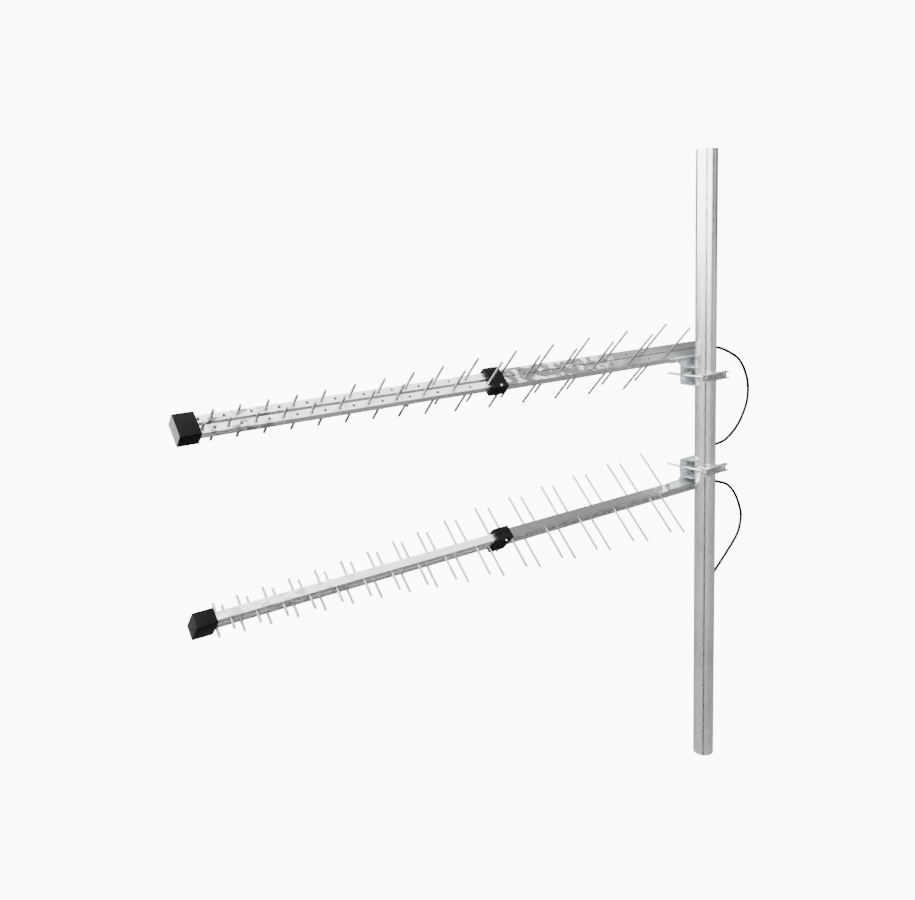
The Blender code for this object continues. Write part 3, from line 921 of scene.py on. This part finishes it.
@dataclass
class Coax:
    """One coax loop, from the gland in the spacer to the grommet in the mast."""

    side: Side
    nodes: dict[str, bpy.types.Object]
    loop: tuple[tuple[float, float], ...]
    radius: float = 3.5 * MM
    sides: int = 16
    points: int = 240
    inner_radii: tuple[float, ...] = (66 * MM, 46 * MM, 34 * MM, 28.3 * MM)

    def route(self) -> list[Vector]:
        """The route's own points, straight out of the gland and back to the mast."""
        label = self.side.label
        low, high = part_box(f"{label}_cable_gland")
        centre = (low + high) / 2
        start = low.x + 5 * MM
        xs = (start, (start + high.x) / 2, high.x, high.x + 6 * MM)
        route = [Vector((x, centre.y, centre.z)) for x in xs]
        route += [Vector((x * MM, centre.y, centre.z + z * MM)) for x, z in self.loop]
        angle = math.atan2(centre.y, self.loop[-1][0] * MM)
        grommet_low, grommet_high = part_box(f"{label}_cable_grommet")
        end_z = (grommet_low.z + grommet_high.z) / 2
        for radius in self.inner_radii:
            route.append(Vector((radius * math.cos(angle), radius * math.sin(angle), end_z)))
        return route

    def path(self) -> list[Vector]:
        """Even points on a smooth curve through the route."""
        points = self.route()
        padded = [2 * points[0] - points[1], *points, 2 * points[-1] - points[-2]]
        fine: list[Vector] = []
        for p0, p1, p2, p3 in zip(padded, padded[1:], padded[2:], padded[3:]):
            for step in range(24):
                t = step / 24
                bend = (2 * p0 - 5 * p1 + 4 * p2 - p3) * t * t + (3 * p1 - p0 - 3 * p2 + p3) * t**3
                fine.append(0.5 * (2 * p1 + (p2 - p0) * t + bend))
        fine.append(points[-1])
        reach = [0.0]
        for start, end in zip(fine, fine[1:]):
            reach.append(reach[-1] + (end - start).length)
        even, index = [], 0
        for step in range(self.points):
            want = reach[-1] * step / (self.points - 1)
            while index < len(fine) - 2 and reach[index + 1] < want:
                index += 1
            part = (want - reach[index]) / (reach[index + 1] - reach[index])
            even.append(fine[index].lerp(fine[index + 1], part))
        return even

    def build(self) -> None:
        label = self.side.label
        path = self.path()
        shape = bmesh.new()
        rings = []
        across = Vector((0, 1, 0))
        for index, point in enumerate(path):
            ahead = path[min(index + 1, len(path) - 1)] - path[max(index - 1, 0)]
            ahead.normalize()
            across = (across - ahead * across.dot(ahead)).normalized()
            other = ahead.cross(across)
            turns = [2 * math.pi * side / self.sides for side in range(self.sides)]
            rings.append(
                [
                    shape.verts.new(point + (across * math.cos(a) + other * math.sin(a)) * self.radius)
                    for a in turns
                ]
            )
        for low, high in zip(rings, rings[1:]):
            for side in range(self.sides):
                after = (side + 1) % self.sides
                shape.faces.new((low[side], low[after], high[after], high[side]))
        shape.faces.new(rings[0])
        shape.faces.new(rings[-1])
        mesh = bpy.data.meshes.new(f"{label}_coax_loop")
        bmesh.ops.recalc_face_normals(shape, faces=shape.faces)
        shape.to_mesh(mesh)
        shape.free()
        mesh.shade_smooth()
        mesh.set_sharp_from_angle(angle=math.radians(50))
        cable = bpy.data.objects.new(f"{label}_coax_loop", mesh)
        bpy.context.scene.collection.objects.link(cable)
        length = sum((end - start).length for start, end in zip(path, path[1:]))
        jacket = Moulded(colour=(0.004, 0.004, 0.005), roughness=0.4, grain=2200, depth=0.00003, sheen=0.1)
        dress(cable, jacket.make(f"{label}_coax_jacket"))
        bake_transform(cable)
        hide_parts(f"{label}_coax_cable")
        LOG.info("%s_coax_loop: %.3f m", label, length)


@dataclass
class Mast:
    """The mast tube and the grommets in its back."""

    nodes: dict[str, bpy.types.Object]
    wall: float = 2 * MM
    lip: float = 0.4 * MM

    def build(self) -> None:
        """Replaces the tube with a smooth one and dresses the grommets."""
        low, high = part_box("mast_tube")
        outer = (high.x - low.x) / 2
        inner = outer - self.wall
        shape = bmesh.new()
        profile = (
            (inner, low.z),
            (outer - self.lip, low.z),
            (outer, low.z + self.lip),
            (outer, high.z - self.lip),
            (outer - self.lip, high.z),
            (inner, high.z),
        )
        lathe(shape, profile, Matrix(), MAST_SIDES, True)
        tube = mesh_piece("mast_smooth_tube", shape, "mast", 40)
        dress(tube, Galvanised().make("mast_galvanised"))
        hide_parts("mast_tube")
        rubber = Moulded(roughness=0.6, grain=900)
        for side in Side:
            node = f"{side.label}_cable_grommet"
            dress(self.nodes[node], rubber.make(f"{node}_rubber"))


@dataclass
class Studio:
    """A plain pale floor, soft lights and the camera."""

    camera_at: tuple[float, float, float] = (-1.6939, -1.3581, 1.3152)
    heading: float = math.radians(35.98)
    pitch: float = math.radians(9.30)
    roll: float = math.radians(2.14)
    lens: float = 34.94
    shift: tuple[float, float] = (-0.0093, -0.071)
    floor_size: float = 80.0
    floor_colour: Colour = (0.2, 0.2, 0.2)
    white: float = 10.5
    dim: float = 0.11
    ambient: float = 0.32
    lobes: tuple[tuple[tuple[float, float, float], float, float, float], ...] = (
        ((-0.988, -0.152, 0.0), -0.02, 0.3, 8.5),
        ((0.0, 0.0, 1.0), 0.35, 0.9, 3.4),
    )

    def camera(self) -> None:
        """Places the camera."""
        ahead = Vector(
            (
                math.sin(self.heading) * math.cos(self.pitch),
                math.cos(self.heading) * math.cos(self.pitch),
                -math.sin(self.pitch),
            )
        )
        right = Vector((math.cos(self.heading), -math.sin(self.heading), 0))
        down = ahead.cross(right)
        across = right * math.cos(self.roll) + down * math.sin(self.roll)
        up = right * math.sin(self.roll) - down * math.cos(self.roll)
        made = bpy.data.cameras.new("camera")
        made.sensor_width = 36.0
        made.lens = self.lens
        made.shift_x, made.shift_y = self.shift
        made.clip_start, made.clip_end = 0.05, 200
        camera = bpy.data.objects.new("camera", made)
        turn = Matrix((across, up, -ahead)).transposed().to_4x4()
        camera.matrix_world = Matrix.Translation(self.camera_at) @ turn
        bpy.context.scene.collection.objects.link(camera)
        bpy.context.scene.camera = camera

    def light(self, name: str, at: Vector, aim: Vector, size: float, power: float) -> None:
        """Adds one soft area light.

        Args:
            name: its name.
            at: where it hangs.
            aim: what it points at.
            size: its side, in metres.
            power: its power, in watts.
        """
        made = bpy.data.lights.new(name, "AREA")
        made.shape = "SQUARE"
        made.size = size
        made.energy = power
        lamp = bpy.data.objects.new(name, made)
        lamp.location = at
        lamp.rotation_euler = (aim - at).to_track_quat("-Z", "Y").to_euler()
        bpy.context.scene.collection.objects.link(lamp)

    def world(self) -> None:
        """White to look at; metal mirrors a bright sky and a bright side, with a dim side opposite."""
        world = bpy.data.worlds.new("studio")
        world.use_nodes = True
        bpy.context.scene.world = world
        tree = world.node_tree
        back = tree.nodes["Background"]
        back.inputs["Strength"].default_value = 1.0
        coordinates = tree.nodes.new("ShaderNodeTexCoord").outputs["Generated"]
        ray = tree.nodes.new("ShaderNodeLightPath").outputs

        def lobe(way: tuple[float, float, float], start: float, end: float, level: float) -> Any:
            """Light that rises as the direction turns to a way.

            Args:
                way: the unit direction.
                start: the cosine where it starts.
                end: the cosine where it is full.
                level: its full brightness.

            Returns:
                The brightness socket.
            """
            dot = tree.nodes.new("ShaderNodeVectorMath")
            dot.operation = "DOT_PRODUCT"
            tree.links.new(coordinates, dot.inputs[0])
            dot.inputs[1].default_value = way
            rise = tree.nodes.new("ShaderNodeMapRange")
            rise.interpolation_type = "SMOOTHSTEP"
            rise.inputs[1].default_value = start
            rise.inputs[2].default_value = end
            rise.inputs[4].default_value = level
            tree.links.new(dot.outputs["Value"], rise.inputs[0])
            return rise.outputs[0]

        total = None
        for way, start, end, level in self.lobes:
            socket = lobe(way, start, end, level)
            added = tree.nodes.new("ShaderNodeMath")
            if total is None:
                added.inputs[1].default_value = self.dim
            else:
                tree.links.new(total, added.inputs[1])
            tree.links.new(socket, added.inputs[0])
            total = added.outputs[0]
        dull = tree.nodes.new("ShaderNodeMix")
        tree.links.new(ray["Is Diffuse Ray"], dull.inputs[0])
        tree.links.new(total, dull.inputs[2])
        dull.inputs[3].default_value = self.ambient
        seen = tree.nodes.new("ShaderNodeMix")
        tree.links.new(ray["Is Camera Ray"], seen.inputs[0])
        tree.links.new(dull.outputs[0], seen.inputs[2])
        seen.inputs[3].default_value = self.white
        tree.links.new(seen.outputs[0], back.inputs["Color"])

    def floor(self) -> None:
        """Lays the floor: grey in itself, and glowing white to the camera only."""
        shape = bmesh.new()
        bmesh.ops.create_grid(shape, x_segments=1, y_segments=1, size=self.floor_size / 2)
        mesh = bpy.data.meshes.new("floor")
        shape.to_mesh(mesh)
        shape.free()
        floor = bpy.data.objects.new("floor", mesh)
        floor.location = (0, 0, -1 * MM)
        bpy.context.scene.collection.objects.link(floor)
        graph = Graph("floor_pale")
        graph.set(Base_Color=self.floor_colour, Roughness=0.9)
        looked_at = graph.node("ShaderNodeLightPath", out="Is Camera Ray")
        glow = graph.mix(looked_at, (0.0, 0.0, 0.0), (1.0, 1.0, 1.0))
        graph.set(Emission_Color=glow, Emission_Strength=self.white)
        dress(floor, graph.material)

    def build(self) -> None:
        """Sets up the whole studio."""
        self.camera()
        self.world()
        self.floor()
        centre = Vector((-0.5, 0, 0.9))
        self.light("key", Vector((-3.0, -0.6, 3.2)), centre, 1.6, 90)
        self.light("fill", Vector((2.4, -2.6, 1.6)), centre, 2.2, 5)
        self.light("rear", Vector((0.8, 2.6, 2.6)), centre, 2.0, 20)


UPPER_LOOP = (
    (101, -2),
    (137, -13),
    (190, -41),
    (220, -82),
    (230, -122),
    (222, -165),
    (190, -211),
    (143, -242),
    (104, -249),
)
LOWER_LOOP = (
    (103, -12),
    (149, -30),
    (183, -64),
    (205, -111),
    (206, -139),
    (192, -174),
    (148, -214),
    (103, -250),
)


def main() -> None:
    """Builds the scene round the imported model."""
    logging.basicConfig(level=logging.INFO, format="%(message)s")
    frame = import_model()
    nodes = frame["nodes"]
    Studio().build()
    Coax(Side.UPPER, nodes, UPPER_LOOP).build()
    Coax(Side.LOWER, nodes, LOWER_LOOP).build()
    Mast(nodes).build()
    # The rear channels are toned down with painted shade so that they read grey under this light. The
    # patches set here are painted reflections: dark on the upper front, bright on the rear channels.
    dull = (0.13, 0.135, 0.14)
    upper_front = Aluminium(blotch=(0.16, 0.16, 0.165), blotch_from=-1.02, blotch_to=-1.16)
    upper_rear = Aluminium(pale=dull, blotch=(0.8, 0.8, 0.8), blotch_from=-0.20, blotch_to=-0.42)
    lower_rear = Aluminium(pale=dull, blotch=(0.6, 0.61, 0.62), blotch_from=-0.17, blotch_to=-0.10)
    # The upper rods take a darker grey than the lower ones: painted shade.
    Boom(
        Side.UPPER,
        nodes,
        cap_front=(0.42, 0.42, 0.43),
        tone=upper_front,
        rear_tone=upper_rear,
        rods=RodMetal(pale=(0.24, 0.24, 0.245)),
    ).build()
    Boom(
        Side.LOWER, nodes, tone=Aluminium(), rear_tone=lower_rear, rods=RodMetal(pale=(0.28, 0.285, 0.29))
    ).build()
    for side in Side:
        MastClamp(side, nodes).build()


if __name__ == "__main__":
    main()
